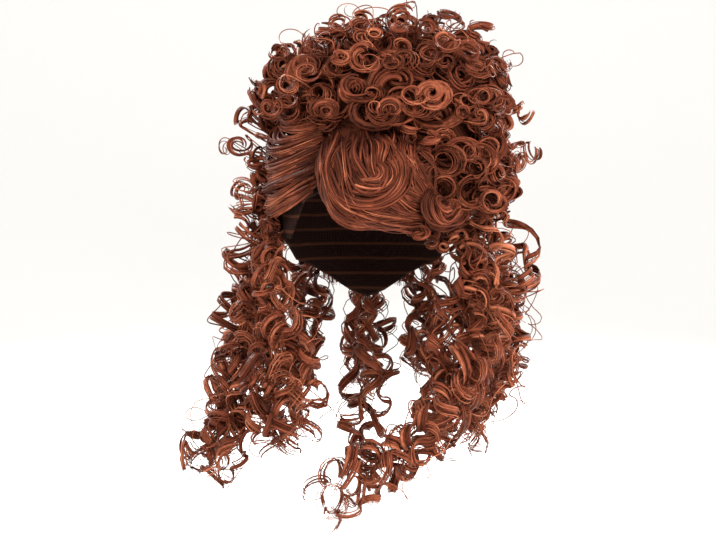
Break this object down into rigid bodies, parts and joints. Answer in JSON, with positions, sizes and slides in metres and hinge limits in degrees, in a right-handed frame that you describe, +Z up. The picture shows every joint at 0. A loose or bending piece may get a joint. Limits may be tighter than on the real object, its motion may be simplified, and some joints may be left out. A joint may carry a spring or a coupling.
{
  "type": "updo wig",
  "caption": "Auburn costume wig: curls pinned up in a dome over the crown, a side-swept fringe, and ringlets hanging to the chest from a stretch cap.",
  "frame": {"origin": "the seat of the crown: the point inside the cap that rests on the top of the head", "axes": "+Z up along the standing head, -Y the way the wearer faces, +X the wearer's left"},
  "size_m": [0.3069, 0.2823, 0.4262],
  "materials": {
    "cap_net": "dark stretch net with rows of stitched hair weft",
    "auburn_hair": "glossy auburn synthetic fibre, curled and teased"
  },
  "bodies": {
    "root": {"wig_cap_crown": "cap_net", "wig_cap_band": "cap_net", "updo_lower_curls": "auburn_hair", "updo_middle_curls": "auburn_hair", "updo_upper_curls": "auburn_hair", "updo_topknot": "auburn_hair", "fringe": "auburn_hair", "right_temple_sweep": "auburn_hair", "left_temple_curls": "auburn_hair", "back_hair": "auburn_hair", "right_ringlet_1": "auburn_hair", "right_ringlet_2": "auburn_hair", "right_ringlet_3": "auburn_hair", "right_ringlet_4": "auburn_hair", "left_ringlet_1": "auburn_hair", "left_ringlet_2": "auburn_hair", "left_ringlet_3": "auburn_hair", "left_ringlet_4": "auburn_hair", "left_ringlet_5": "auburn_hair", "nape_ringlet_1": "auburn_hair", "nape_ringlet_2": "auburn_hair", "nape_ringlet_3": "auburn_hair", "back_ringlet_1": "auburn_hair", "back_ringlet_2": "auburn_hair", "back_ringlet_3": "auburn_hair", "back_ringlet_4": "auburn_hair", "back_ringlet_5": "auburn_hair"}
  },
  "joints": []
}
